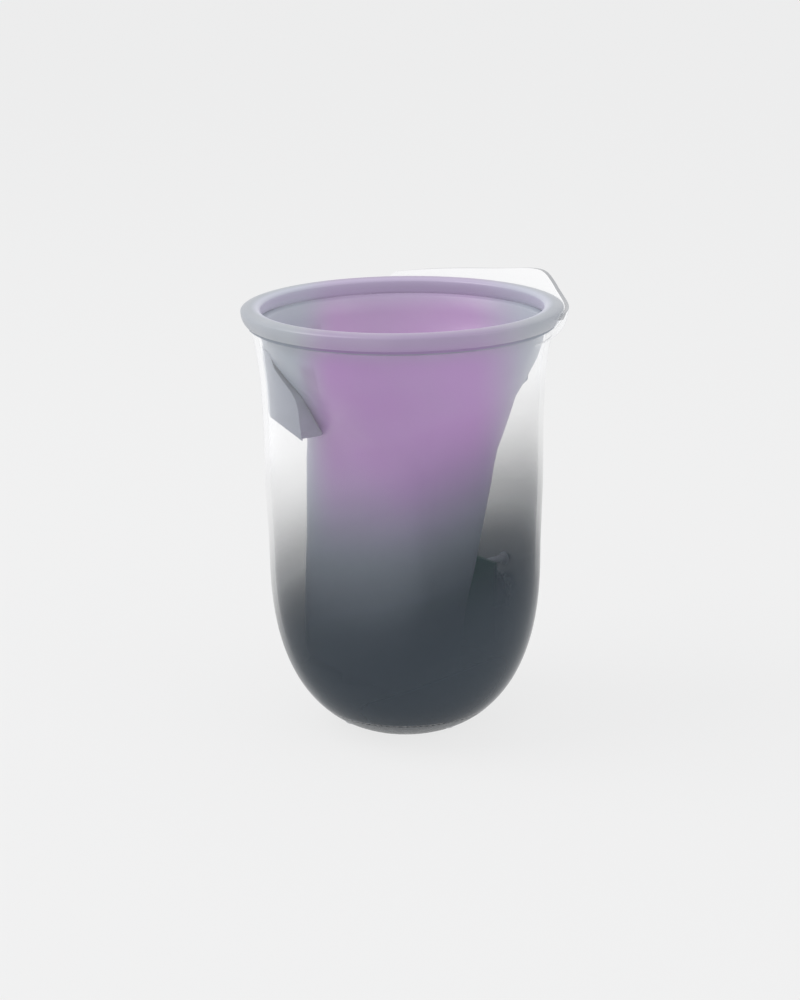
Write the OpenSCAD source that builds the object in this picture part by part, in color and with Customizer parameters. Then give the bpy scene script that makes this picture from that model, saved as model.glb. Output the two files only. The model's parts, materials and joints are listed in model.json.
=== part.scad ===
// Vessel-shaped UV sanitizer with a wireless charging pocket.
// Z is up, the origin is the centre of the rest face, -Y is the front and +Y is the charging side.
// Directions round the axis are degrees from +X towards +Y.

/* [Body] */
// Height of the rim's top above the surface it stands on
rim_top = 171.5; // [165:0.5:180]
// Radius of the bowl where it is widest
bowl_r = 54.2; // [51:0.1:56]
// Height at which the round bottom turns into the straight body
bowl_z = 72.4; // [68:0.1:78]
// How much of the round bottom's tip is cut off flat
bowl_cut = 2.5; // [2:0.1:3.5]
// Roundness of the bottom, where 2 is an ellipse
bowl_power = 2.5; // [2.2:0.1:2.8]
// How much the body widens just above the bowl
swell = 0.9; // [0:0.1:1.5]
// Height of the flared neck
neck_h = 78.5; // [70:0.5:84]
// Wall of the outer shell
shell_wall = 2; // [1.5:0.1:2.6]
// Height of the joint between the shell and the base plate
split_z = 9; // [8:0.5:11]

/* [Rim] */
// Radius of the mouth at the nose of the rim bead
rim_r = 62.8; // [62:0.1:65]
// Height of the rim bead
bead_h = 7; // [6:0.25:8]
// Height of the raised finger lip above the rim
lip_h = 8; // [4:0.5:10]
// Wall of the raised finger lip
lip_wall = 1.6; // [1.2:0.1:2]
// Direction of the finger lip's peak, from +X towards +Y
lip_angle = 86; // [60:1:110]
// Height of the lip's long low tail above the rim's nose
lip_tail_h = 5.6; // [4:0.2:6]

/* [Pocket] */
// Height of the pocket's floor
pocket_z = 28; // [27:0.5:32]
// Half width of the pocket inside
pocket_half_w = 40; // [37:0.5:41]
// How far the pocket's front wall lies in front of the axis, inside
pocket_front = 22.6; // [20:0.2:24]
// How far the pocket's back wall lies behind the axis below its lean, inside
pocket_back = 3.3; // [0:0.1:5]
// How much farther forward the front wall stands at the floor
pocket_toe = 6.4; // [5:0.2:6.8]
// How much narrower the pocket is on each side at the floor
pocket_tuck = 2.2; // [1.8:0.1:3]
// Height at which the charging wall starts to lean back
heel_z = 61; // [54:1:66]
// Lean of the charging wall, in millimetres back for each one up
pocket_lean = 0.28; // [0.2:0.01:0.3]
// Height at which the pocket starts to open into the funnel
funnel_z = 112; // [106:1:116]
// Wall of the liner
liner_wall = 2; // [1.6:0.1:2.4]
// Thickness of the soft mat on the pocket's floor
mat_t = 2; // [1:0.25:3]

/* [Lamp and sensor] */
// Direction of the lamp from the axis, from +X towards +Y
lamp_angle = 234; // [228:1:240]
// How far the lamp housing's outer lower edge lies below the rim's top
lamp_edge_drop = 40.5; // [38.5:0.5:43]
// Half width of the lamp housing
lamp_half_w = 22; // [20:1:23]
// How far the lamp's middle lies to the left of that direction, seen from outside
lamp_shift = 10; // [8:0.5:11]
// How far the lamp window's centre lies below the rim's top
lamp_drop = 39; // [37.5:0.5:40.5]
// Width of the lamp window
lamp_window_w = 24; // [18:1:28]
// Height of the lamp window
lamp_window_h = 11; // [9:0.5:12]
// How far the sensor housing's outer lower edge lies below the rim's top
sensor_edge_drop = 33.5; // [32.5:0.5:35.5]
// Half width of the sensor housing
sensor_half_w = 15; // [10:0.5:18]
// How far the sensor lens's centre lies below the rim's top
sensor_drop = 30; // [28.5:0.25:30.5]
// Radius of the sensor lens
sensor_r = 2.5; // [2:0.1:3]
// Fall of both housings' undersides, per millimetre inward
housing_slope = 0.8; // [0.6:0.05:0.9]
// Thickness of the lamp window and the sensor lens
window_t = 1; // [0.8:0.1:1.2]

/* [Charger] */
// Outer radius of the charging coil
coil_r = 21; // [18:0.5:23]
// Thickness of the charging coil
coil_t = 1.6; // [1:0.2:2.4]
// Height of the coil's centre
coil_z = 88; // [87.5:0.25:88.5]
// Thickness of the ferrite sheet behind the coil
ferrite_t = 1; // [0.6:0.2:1.6]

/* [Base] */
// Radius of the rubber foot pad
foot_r = 17.5; // [16:0.5:18]
// How far the foot pad stands proud of the base plate
foot_proud = 0.8; // [0.5:0.1:1.2]
// Thickness of the solid bottom of the base plate
base_t = 9; // [8.5:0.25:10]
// Radius of the steel ballast
ballast_r = 16; // [14:0.5:17]
// Height of the steel ballast
ballast_h = 7; // [5:0.5:8]
// Radius of the circle that the base screws stand on
screw_ring_r = 27; // [25.5:0.5:28.5]
// Radius of a base screw's shank
screw_r = 1.5; // [1.25:0.05:1.75]

/* [Electronics] */
// Side of the square main board
board_w = 34; // [30:1:36]
// Thickness of the circuit boards
board_t = 1.6; // [1:0.2:2]
// Width of the upright rear board
io_board_w = 26; // [22:1:28]
// Height of the inlet's centre
inlet_z = 31; // [30:0.5:33]
// Height of the push button's centre
button_z = 45; // [43:0.5:48]
// Radius of the push button
button_r = 5; // [4:0.25:5.5]
// Travel of the push button
button_travel = 0.8; // [0.4:0.1:1]
// Height of the indicator's light pipe
pipe_z = 58; // [56:0.5:62]
// Radius of the light pipe
pipe_r = 1.5; // [1:0.1:2]

/* [Fits] */
// Gap between pieces that are seated without force
seat_gap = 0.1; // [0.05:0.05:0.2]
// Radial gap of a piece that slides or turns in its bore
slide_gap = 0.08; // [0.05:0.01:0.1]

/* [Hidden] */

nose_z = rim_top - 1.5;
seat_z = rim_top - bead_h + 0.5;
bead_half = 3.8;
bead_r = rim_r - bead_half;
flange_t = 1;
gasket_t = 0.6;
shell_top = seat_z - flange_t - gasket_t;
neck_flare = bead_r + 0.2 - bowl_r - swell;
lamp_edge_z = rim_top - lamp_edge_drop;
lamp_z = rim_top - lamp_drop;
sensor_edge_z = rim_top - sensor_edge_drop;
sensor_z = rim_top - sensor_drop;
housing_top = rim_top - 19.5;
rear = 90;
bowl_depth = bowl_z + bowl_cut;
swell_h = 30;
neck_power = 4.8;
neck_z = shell_top - neck_h;
round_fn = 96;
small_fn = 32;
liner_gap = 0.4;

base_z = foot_proud;
foot_recess = 1.4;
shell_floor = split_z - 3;
base_top = base_z + base_t - 0.8;
board_z = base_top + 3.5;
chassis_z = board_z + board_t + 5;
chassis_t = 2.5;
deck_z = chassis_z + chassis_t;
rail_w = 3;
io_y = sqrt(pow(body_r(deck_z, shell_wall) - 1, 2) - pow(io_board_w / 2 + rail_w, 2)) - rail_w;
io_face = io_y + board_t;
io_top = pipe_z + 4;

inlet_w = 8.9;
inlet_h = 3.2;
bezel_wall = 1.6;
bezel_r = button_r + bezel_wall;
bezel_front = body_r(button_z) + 1.2;
bezel_flange_y = body_r(button_z - 8, shell_wall) - 1.9;
button_flange_y = bezel_flange_y - 1.4;
switch_h = 3.4;
plunger_out = 1.5;
plunger_r = 1.7;

function ease(t) = t <= 0 ? 0 : t >= 1 ? 1 : t * t * (3 - 2 * t);
function reversed(list) = [for (i = [len(list) - 1 : -1 : 0]) list[i]];

// Radius at height z of the body's surface, or of one that lies inset from it
function bowl_at(z, r, depth) =
    z >= bowl_z ? r : r * pow(max(0, 1 - pow((bowl_z - z) / depth, bowl_power)), 1 / bowl_power);
function body_r(z, inset = 0) =
    bowl_at(z, bowl_r - inset, bowl_depth - inset)
    + swell * ease((z - bowl_z) / swell_h)
    + neck_flare * pow(max(0, (z - neck_z) / neck_h), neck_power);

// Points of that surface from one height up to another
function body_line(z0, z1, inset = 0, steps = 44) =
    [for (i = [0 : steps]) let (z = z0 + (z1 - z0) * pow(i / steps, 1.3)) [body_r(z, inset), z]];
function arc(r, z, rx, rz, from, to, steps = 12) =
    [for (i = [0 : steps]) let (a = from + (to - from) * i / steps) [r + rx * cos(a), z + rz * sin(a)]];

// The space inside the shell, less a gap, which the inner pieces are cut to
module inside_shell(gap, top = shell_top) {
    line = body_line(shell_floor, top, shell_wall + gap);
    rotate_extrude($fn = round_fn)
        polygon(concat([[0, shell_floor]], line, [[0, top]]));
}

// ---- Rim and outer shell ----

lip_gap = 0.35;
lip_lean = 4;
lip_half_w = 15;
lip_skirt = 48;
skirt_fade = 10;
tail_reach = 64;
tail_skirt = 56;
tail_fade = 6;
lip_step = 3;
lip_spare = 4;
lip_top = nose_z + lip_h;

module bead_section() {
    underside = nose_z - seat_z;
    polygon(concat(
        arc(bead_r, nose_z, bead_half, rim_top - nose_z, 0, 180, 16),
        arc(bead_r, nose_z, bead_half, underside * 1.12, 180, 243, 6),
        [[bead_r - 1.7, seat_z], [bead_r + 1.7, seat_z]],
        arc(bead_r, nose_z, bead_half, underside * 1.12, 297, 360, 6)));
}

module rim_ring() {
    color([0.72, 0.73, 0.77])
        rotate_extrude($fn = round_fn) bead_section();
}

module rim_gasket() {
    inner = body_r(shell_top, shell_wall) + seat_gap;
    outer = body_r(shell_top) - seat_gap;
    color([0.25, 0.25, 0.28])
        translate([0, 0, shell_top]) difference() {
            cylinder(h = gasket_t, r = outer, $fn = round_fn);
            translate([0, 0, -1]) cylinder(h = gasket_t + 2, r = inner, $fn = round_fn);
        }
}

// Height of the raised lip's edge at a distance u along the rim from its peak
function lip_peak(u) = exp(-pow(u / lip_half_w, 2) * ln(2));
function lip_tail(u) = u < 0 ? lip_peak(u) : sqrt(max(0, 1 - pow(u / tail_reach, 2)));
function lip_fade(u) = u < 0 ? ease((-u - lip_skirt) / skirt_fade) : ease((u - tail_skirt) / tail_fade);
function lip_edge(u) =
    nose_z - (lip_top - shell_top + 3) * lip_fade(u)
    + lip_tail_h * lip_tail(u) + (lip_h - lip_tail_h) * lip_peak(u);

module lip_collar() {
    inner_bow = bead_half + lip_gap;
    outer_bow = inner_bow + lip_wall;
    drop = (nose_z - shell_top + 0.2) / inner_bow;
    rotate_extrude($fn = round_fn) polygon(concat(
        arc(bead_r, nose_z, outer_bow, outer_bow * drop, -100, 0, 10),
        [for (t = [0.25 : 0.25 : 1])
            [bead_r + outer_bow + lip_lean * t * t, nose_z + (lip_h + lip_spare) * t]],
        [for (t = [1 : -0.25 : 0.25])
            [bead_r + inner_bow + lip_lean * t * t, nose_z + (lip_h + lip_spare) * t]],
        arc(bead_r, nose_z, inner_bow, inner_bow * drop, 0, -88, 10)));
}

module finger_lip() {
    low = shell_top - 8;
    reach = rim_r + 12;
    half = tail_skirt + tail_fade + lip_step;
    intersection() {
        lip_collar();
        rotate([0, 0, lip_angle]) rotate([90, 0, 90])
            linear_extrude(reach) polygon(concat(
                [for (u = [-half : lip_step : half]) [u, lip_edge(u)]],
                [[half, low], [-half, low]]));
    }
}

module outer_shell() {
    color([0.8, 0.83, 0.86, 0.4]) difference() {
        union() {
            rotate_extrude($fn = round_fn) polygon(concat(
                body_line(split_z, shell_top),
                reversed(body_line(split_z, shell_top, shell_wall))));
            finger_lip();
        }
        translate([0, body_r(inlet_z) - 8, inlet_z]) inlet_slot(inlet_w + 0.8, inlet_h + 0.8, 16);
        translate([0, 0, button_z]) rotate([-90, 0, 0])
            cylinder(h = rim_r, r = bezel_r + seat_gap, $fn = small_fn);
        translate([0, 0, pipe_z]) rotate([-90, 0, 0])
            cylinder(h = rim_r, r = pipe_r + seat_gap, $fn = small_fn);
    }
}

// ---- Liner with the pocket ----

liner_bottom = pocket_z - liner_wall;
toe_h = 50;
squareness = 5;
toe_squareness = 3;
neck_gap = 1.4;
mouth_chamfer = 1.2;
flange_r = bead_r + 1.2;
round_from = 105;
round_over = 35;
liner_top_r = body_r(shell_top, shell_wall) - neck_gap;
liner_top = seat_z - flange_t;
ring_points = 48;
ring_levels = 22;

function funnel_share(z) = ease((z - funnel_z) / (liner_top - funnel_z));
function lerp(a, b, t) = a + (b - a) * t;
function toe_share(z) = 1 - ease((z - liner_bottom) / toe_h);
function wall_front(z) = pocket_front + liner_wall + pocket_toe * toe_share(z);
function wall_back(z) = pocket_back + liner_wall + pocket_lean * max(0, z - heel_z);

// Half sizes and middle of the liner's section at height z, inset from its outside
function liner_half_x(z, inset) =
    lerp(pocket_half_w + liner_wall - pocket_tuck * toe_share(z), liner_top_r,
         funnel_share(z)) - inset;
function liner_front(z, inset) = lerp(wall_front(z), liner_top_r, funnel_share(z)) - inset;
function liner_back(z, inset) = lerp(wall_back(z), liner_top_r, funnel_share(z)) - inset;
function liner_power(z) =
    lerp(lerp(squareness, toe_squareness, toe_share(z)), 2,
         ease((z - round_from) / round_over));

function signed_pow(v, p) = sign(v) * pow(abs(v), p);
function liner_ring(z, inset, at_z) =
    let (p = 2 / liner_power(z), a = liner_half_x(z, inset),
         front = liner_front(z, inset), back = liner_back(z, inset))
    [for (i = [0 : ring_points - 1]) let (t = 360 * i / ring_points)
        [a * signed_pow(cos(t), p),
         (back - front) / 2 + (back + front) / 2 * signed_pow(sin(t), p), at_z]];

function liner_zs(z0, z1) = [for (i = [0 : ring_levels - 1]) z0 + (z1 - z0) * i / (ring_levels - 1)];

// A closed skin through rings of points that follow one another
function skin_faces(rings, n) = concat(
    [for (k = [0 : rings - 2], i = [0 : n - 1]) let (j = (i + 1) % n)
        [k * n + i, (k + 1) * n + i, (k + 1) * n + j]],
    [for (k = [0 : rings - 2], i = [0 : n - 1]) let (j = (i + 1) % n)
        [k * n + i, (k + 1) * n + j, k * n + j]],
    [[for (i = [0 : n - 1]) i]],
    [[for (i = [n - 1 : -1 : 0]) (rings - 1) * n + i]]);

module liner_body() {
    outside = [for (z = liner_zs(liner_bottom, liner_top)) liner_ring(z, 0, z)];
    flange = [for (z = [liner_top, seat_z]) liner_ring(liner_top, liner_top_r - flange_r, z)];
    mouth = liner_ring(liner_top, liner_wall - mouth_chamfer, seat_z);
    inside = [for (z = reversed(liner_zs(pocket_z, liner_top))) liner_ring(z, liner_wall, z)];
    rings = concat(outside, flange, [mouth], inside);
    polyhedron(points = [for (r = rings, q = r) q],
               faces = skin_faces(len(rings), ring_points), convexity = 8);
}

// Turns +Y to a direction, which is 90 for the rear
module facing(angle) {
    rotate([0, 0, angle - 90]) children();
}

module at_lamp() {
    facing(lamp_angle) translate([lamp_shift, 0, 0]) children();
}

// How far the liner's outside reaches at height z in a direction
function liner_reach(angle, z) =
    max([for (q = liner_ring(z, 0, z)) q[0] * cos(angle) + q[1] * sin(angle)]);

module inner_liner() {
    over = 0.4;
    color([0.62, 0.64, 0.68, 0.6]) difference() {
        liner_body();
        at_lamp() translate([-lamp_window_w / 2 - over, 0, lamp_z - lamp_window_h / 2 - over])
            cube([lamp_window_w + 2 * over, bowl_r, lamp_window_h + 2 * over]);
        translate([0, 0, sensor_z]) rotate([-90, 0, 0])
            cylinder(h = bowl_r, r = sensor_r + over, $fn = small_fn);
    }
}

module pocket_mat() {
    inset = liner_wall + 0.4;
    color([0.35, 0.35, 0.4]) translate([0, 0, pocket_z])
        linear_extrude(mat_t)
            polygon([for (q = liner_ring(pocket_z + mat_t, inset, 0)) [q[0], q[1]]]);
}

// ---- Lamp and sensor housings ----

// A housing's solid: its inner side follows the liner and its outer side the shell
module housing_block(angle, half_w, edge_z, shift = 0) {
    reach = body_r(edge_z, shell_wall);
    foot_z = edge_z - (reach - liner_reach(angle, edge_z - 10)) * housing_slope;
    wall = [for (i = [0 : 10]) let (z = foot_z + (housing_top - foot_z) * i / 10)
        [liner_reach(angle, z) + liner_gap, z]];
    facing(angle) intersection() {
        inside_shell(liner_gap);
        translate([shift, 0, 0]) rotate([90, 0, 90]) linear_extrude(2 * half_w, center = true)
            polygon(concat(wall, [[reach + 8, housing_top], [reach + 8, edge_z + 4],
                                  [reach, edge_z]]));
    }
}

lamp_y = liner_reach(lamp_angle, lamp_z + lamp_window_h / 2) + 1;
lamp_ledge = 1;
led_t = 1;
led_side = 3.5;

module uv_housing() {
    w = lamp_window_w / 2;
    h = lamp_window_h / 2;
    color([0.58, 0.6, 0.65, 0.8]) difference() {
        housing_block(lamp_angle, lamp_half_w, lamp_edge_z, lamp_shift);
        at_lamp() translate([-w - seat_gap, 0, lamp_z - h - seat_gap])
            cube([2 * (w + seat_gap), lamp_y + window_t, 2 * (h + seat_gap)]);
        at_lamp() translate([-w + lamp_ledge, 0, lamp_z - h + lamp_ledge])
            cube([2 * (w - lamp_ledge), lamp_y + window_t + led_t + 0.5 + board_t,
                  2 * (h - lamp_ledge)]);
    }
}

module uv_window() {
    color([0.55, 0.35, 0.75, 0.5]) at_lamp()
        translate([-lamp_window_w / 2, lamp_y, lamp_z - lamp_window_h / 2])
            cube([lamp_window_w, window_t, lamp_window_h]);
}

module uv_board() {
    inset = lamp_ledge + seat_gap;
    color([0.1, 0.35, 0.2]) at_lamp()
        translate([-lamp_window_w / 2 + inset, lamp_y + window_t + led_t + 0.5,
                   lamp_z - lamp_window_h / 2 + inset])
            cube([lamp_window_w - 2 * inset, board_t, lamp_window_h - 2 * inset]);
}

module uv_leds() {
    color([0.8, 0.7, 0.95]) at_lamp() for (i = [-1 : 1])
        translate([i * lamp_window_w / 3.6 - led_side / 2, lamp_y + window_t + 0.5,
                   lamp_z - led_side / 2])
            cube([led_side, led_t, led_side]);
}

sensor_y = liner_reach(rear, sensor_z + sensor_r) + 0.3;
chip_t = 0.8;

module sensor_bore(r, depth) {
    translate([0, 0, sensor_z]) rotate([-90, 0, 0])
        cylinder(h = sensor_y + depth, r = r, $fn = small_fn);
}

module sensor_housing() {
    color([0.66, 0.64, 0.72, 0.8]) difference() {
        housing_block(rear, sensor_half_w, sensor_edge_z);
        sensor_bore(sensor_r + seat_gap, window_t);
        sensor_bore(sensor_r - 0.5, window_t + chip_t + 0.3 + 1);
    }
}

module sensor_lens() {
    color([0.3, 0.1, 0.35, 0.8]) translate([0, sensor_y, sensor_z]) rotate([-90, 0, 0])
        cylinder(h = window_t, r = sensor_r, $fn = small_fn);
}

module sensor_chip() {
    color([0.1, 0.1, 0.12]) translate([-0.9, sensor_y + window_t + 0.3, sensor_z - 0.9])
        cube([1.8, chip_t, 1.8]);
}

module sensor_board() {
    color([0.1, 0.35, 0.2])
        translate([0, sensor_y + window_t + 0.3 + chip_t, sensor_z]) rotate([-90, 0, 0])
            cylinder(h = 1, r = sensor_r - 0.6, $fn = small_fn);
}

// ---- Wireless charger on the leaning wall ----

coil_lean = atan(pocket_lean);
cover_wall = 1.6;
cover_r = coil_r + 1 + cover_wall;

module on_charging_wall() {
    translate([0, wall_back(coil_z) + seat_gap, coil_z])
        rotate([-90 - coil_lean, 0, 0]) children();
}

module charging_coil() {
    color([0.72, 0.4, 0.2]) on_charging_wall() difference() {
        cylinder(h = coil_t, r = coil_r, $fn = round_fn);
        translate([0, 0, -1]) cylinder(h = coil_t + 2, r = coil_r / 2, $fn = round_fn);
    }
}

module ferrite_sheet() {
    color([0.2, 0.2, 0.22]) on_charging_wall() translate([0, 0, coil_t])
        cylinder(h = ferrite_t, r = coil_r + 0.5, $fn = round_fn);
}

module coil_cover() {
    depth = coil_t + ferrite_t;
    color([0.5, 0.52, 0.56]) on_charging_wall() difference() {
        cylinder(h = depth + cover_wall, r = cover_r, $fn = round_fn);
        translate([0, 0, -1]) cylinder(h = depth + 1, r = coil_r + 1, $fn = round_fn);
    }
}

lead_w = 8;
lead_t = 0.8;
lead_y = wall_back(pocket_z) + 1.6;

module coil_lead() {
    top = coil_z - cover_r * cos(coil_lean) - 0.6;
    bottom = board_z + board_t + 1.2;
    color([0.75, 0.55, 0.3]) translate([-lead_w / 2, lead_y, bottom])
        cube([lead_w, lead_t, top - bottom]);
}

// ---- Chassis, boards and base ----

module at_screws(r = screw_ring_r) {
    for (a = [0 : 90 : 270]) rotate([0, 0, a]) translate([r, 0, 0]) children();
}

module at_board_corners() {
    for (x = [-1, 1], y = [-1, 1]) translate([x, y, 0] * (board_w / 2 - 2.5)) children();
}

module chassis() {
    boss_r = screw_r + 2.5;
    rail_h = 22;
    color([0.3, 0.31, 0.33]) difference() {
        intersection() {
            inside_shell(seat_gap + 0.2);
            union() {
                translate([0, 0, chassis_z]) cylinder(h = chassis_t, r = bowl_r, $fn = round_fn);
                translate([0, 0, chassis_z]) at_screws()
                    cylinder(h = liner_bottom - chassis_z, r = boss_r, $fn = small_fn);
                for (side = [-1, 1])
                    translate([side * (io_board_w / 2 + rail_w / 2 - 0.5) - rail_w / 2,
                               io_y - 1.5, chassis_z])
                        cube([rail_w, board_t + 3, chassis_t + rail_h]);
            }
        }
        at_screws() cylinder(h = liner_bottom - 1, r = screw_r + seat_gap, $fn = small_fn);
        translate([-io_board_w / 2 - seat_gap, io_y - seat_gap, deck_z])
            cube([io_board_w + 2 * seat_gap, board_t + 2 * seat_gap, rail_h + 1]);
        translate([-lead_w / 2 - 0.5, lead_y - 0.5, chassis_z - 1])
            cube([lead_w + 1, lead_t + 1, chassis_t + 2]);
    }
}

board_screw_r = 1;
board_head_r = 1.9;
board_head_h = 1.2;

module main_board() {
    color([0.1, 0.35, 0.2]) difference() {
        translate([-board_w / 2, -board_w / 2, board_z]) cube([board_w, board_w, board_t]);
        at_board_corners()
            cylinder(h = chassis_z, r = board_screw_r + seat_gap, $fn = small_fn);
    }
}

module board_screws() {
    color([0.7, 0.7, 0.72]) at_board_corners() {
        translate([0, 0, board_z + board_t])
            cylinder(h = board_head_h, r = board_head_r, $fn = small_fn);
        translate([0, 0, base_top + 0.5])
            cylinder(h = board_z + board_t - base_top - 0.5, r = board_screw_r, $fn = small_fn);
    }
}

chip_w = 7;
chip_h = 1;
inductor_w = 6.5;
inductor_h = 3;
can_r = 2.5;
can_h = 4;
plug_wall = 1;
plug_h = 1.2;

// Driver chip, controller, inductor, capacitor and the flat-cable connector
module board_parts() {
    translate([0, 0, board_z + board_t]) {
        color([0.12, 0.12, 0.13]) translate([-board_w / 3, -chip_w / 2, 0])
            cube([chip_w, chip_w, chip_h]);
        color([0.12, 0.12, 0.13]) translate([-chip_w / 3, -board_w / 3, 0])
            cube([0.7 * chip_w, 0.7 * chip_w, chip_h]);
        color([0.3, 0.3, 0.32]) translate([board_w / 8, -inductor_w, 0])
            cube([inductor_w, inductor_w, inductor_h]);
        color([0.75, 0.76, 0.78]) translate([-board_w / 4, -board_w / 3.6, 0])
            cylinder(h = can_h, r = can_r, $fn = small_fn);
        color([0.9, 0.88, 0.8]) translate([-lead_w / 2 - plug_wall, lead_y - plug_wall, 0])
            cube([lead_w + 2 * plug_wall, lead_t + 2 * plug_wall, plug_h]);
    }
}

module io_board() {
    color([0.1, 0.35, 0.2]) translate([-io_board_w / 2, io_y, deck_z])
        cube([io_board_w, board_t, io_top - deck_z]);
}

// A slot with round ends, along +Y, centred on the origin
module inlet_slot(w, h, length) {
    rotate([-90, 0, 0]) {
        translate([-(w - h) / 2, -h / 2, 0]) cube([w - h, h, length]);
        for (side = [-1, 1]) translate([side * (w - h) / 2, 0, 0])
            cylinder(h = length, r = h / 2, $fn = small_fn);
    }
}

module usb_c_socket() {
    length = body_r(inlet_z) - 0.5 - io_face;
    wall = 0.3;
    depth = 7;
    color([0.75, 0.76, 0.78]) translate([0, io_face, inlet_z]) {
        difference() {
            inlet_slot(inlet_w, inlet_h, length);
            translate([0, length - depth, 0])
                inlet_slot(inlet_w - 2 * wall, inlet_h - 2 * wall, depth + 1);
        }
        translate([-3.3, length - depth - 0.5, -0.35]) cube([6.6, depth - 0.5, 0.7]);
    }
}

module tact_switch() {
    side = 6;
    color([0.15, 0.15, 0.16]) difference() {
        translate([-side / 2, io_face, button_z - side / 2]) cube([side, switch_h, side]);
        translate([0, io_face + 0.6, button_z]) rotate([-90, 0, 0])
            cylinder(h = switch_h, r = plunger_r + slide_gap, $fn = small_fn);
    }
}

module switch_plunger() {
    root = io_face + 0.6 + button_travel + 0.3;
    color([0.85, 0.83, 0.78]) translate([0, root, button_z]) rotate([-90, 0, 0])
        cylinder(h = io_face + switch_h + plunger_out - root, r = plunger_r, $fn = small_fn);
}

module power_button() {
    back = io_face + switch_h + plunger_out + 0.05;
    flange = 1.1;
    color([0.2, 0.2, 0.22]) translate([0, 0, button_z]) rotate([-90, 0, 0]) {
        translate([0, 0, back]) cylinder(h = button_flange_y - back + 0.5, r = 2, $fn = small_fn);
        translate([0, 0, button_flange_y]) cylinder(h = flange, r = bezel_r + 0.4, $fn = small_fn);
        translate([0, 0, button_flange_y])
            cylinder(h = bezel_front + 0.8 - button_flange_y, r = button_r, $fn = small_fn);
    }
}

bezel_flange = 1.4;
bezel_flange_t = 1.2;

module button_bezel() {
    color([0.4, 0.4, 0.43]) translate([0, bezel_flange_y, button_z]) rotate([-90, 0, 0])
        difference() {
            union() {
                cylinder(h = bezel_front - bezel_flange_y, r = bezel_r, $fn = small_fn);
                cylinder(h = bezel_flange_t, r = bezel_r + bezel_flange, $fn = small_fn);
            }
            translate([0, 0, -1])
                cylinder(h = bezel_front - bezel_flange_y + 2, r = button_r + slide_gap, $fn = small_fn);
        }
}

module status_led() {
    color([0.95, 0.95, 0.85]) translate([-1.5, io_face, pipe_z - 0.8]) cube([3, 0.9, 1.6]);
}

module light_pipe() {
    root = io_face + 1;
    flange_y = body_r(pipe_z, shell_wall) - 1.6;
    color([0.9, 0.9, 0.92, 0.6]) translate([0, root, pipe_z]) rotate([-90, 0, 0]) {
        cylinder(h = body_r(pipe_z) - 0.2 - root, r = pipe_r, $fn = small_fn);
        translate([0, 0, flange_y - root]) cylinder(h = 1, r = pipe_r + 1.2, $fn = small_fn);
    }
}

module base_plate() {
    head_z = base_z + 5.2;
    spigot = body_r(split_z, shell_wall) - seat_gap;
    spigot_t = 1.6;
    spigot_top = split_z + 2.2;
    seam = split_z - 0.05;
    color([0.14, 0.15, 0.17]) difference() {
        union() {
            rotate_extrude($fn = round_fn) polygon(concat(
                [[0, base_z]], body_line(base_z, seam, 0, 20),
                [[spigot, seam], [spigot, spigot_top], [spigot - spigot_t, spigot_top],
                 [spigot - spigot_t, base_top], [0, base_top]]));
            translate([0, 0, base_top - 1]) at_screws()
                cylinder(h = chassis_z - base_top + 1, r = screw_r + 2.5, $fn = small_fn);
            translate([0, 0, base_top - 1]) at_board_corners()
                cylinder(h = board_z - base_top + 1, r = 2.2, $fn = small_fn);
        }
        at_screws() cylinder(h = head_z, r = 2 * screw_r + seat_gap, $fn = small_fn);
        at_screws() cylinder(h = chassis_z + 1, r = screw_r + seat_gap, $fn = small_fn);
        at_board_corners() translate([0, 0, base_top - 2])
            cylinder(h = chassis_z, r = board_screw_r + seat_gap, $fn = small_fn);
        cylinder(h = base_z + foot_recess, r = foot_r + seat_gap, $fn = round_fn);
        translate([0, 0, ballast_z]) cylinder(h = 20, r = ballast_r + seat_gap, $fn = round_fn);
    }
}

ballast_z = base_z + foot_recess + 1.2;

module ballast_weight() {
    color([0.5, 0.5, 0.52]) translate([0, 0, ballast_z])
        cylinder(h = ballast_h, r = ballast_r, $fn = round_fn);
}

module foot_pad() {
    color([0.1, 0.1, 0.1]) cylinder(h = base_z + foot_recess, r = foot_r, $fn = round_fn);
}

module base_screws() {
    head_z = base_z + 5.2;
    color([0.7, 0.7, 0.72]) at_screws() {
        translate([0, 0, head_z - 2]) cylinder(h = 2, r = 2 * screw_r, $fn = small_fn);
        translate([0, 0, head_z]) cylinder(h = liner_bottom - 2 - head_z, r = screw_r, $fn = small_fn);
    }
}

outer_shell();
rim_ring();
rim_gasket();
inner_liner();
pocket_mat();
uv_housing();
uv_window();
uv_board();
uv_leds();
sensor_housing();
sensor_lens();
sensor_board();
sensor_chip();
coil_cover();
charging_coil();
ferrite_sheet();
coil_lead();
chassis();
main_board();
board_parts();
board_screws();
io_board();
usb_c_socket();
tact_switch();
switch_plunger();
power_button();
button_bezel();
status_led();
light_pipe();
base_plate();
ballast_weight();
foot_pad();
base_screws();
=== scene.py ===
"""Looks of the vessel-shaped UV sanitizer: a clear-to-smoke shell, a rounded rim with a raised lip,
and a translucent liner whose pocket glows violet. Everything is in metres, +Z up."""

import json
import math

import bmesh
import bpy
from mathutils import Matrix, Quaternion, Vector
from mathutils.bvhtree import BVHTree


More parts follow.
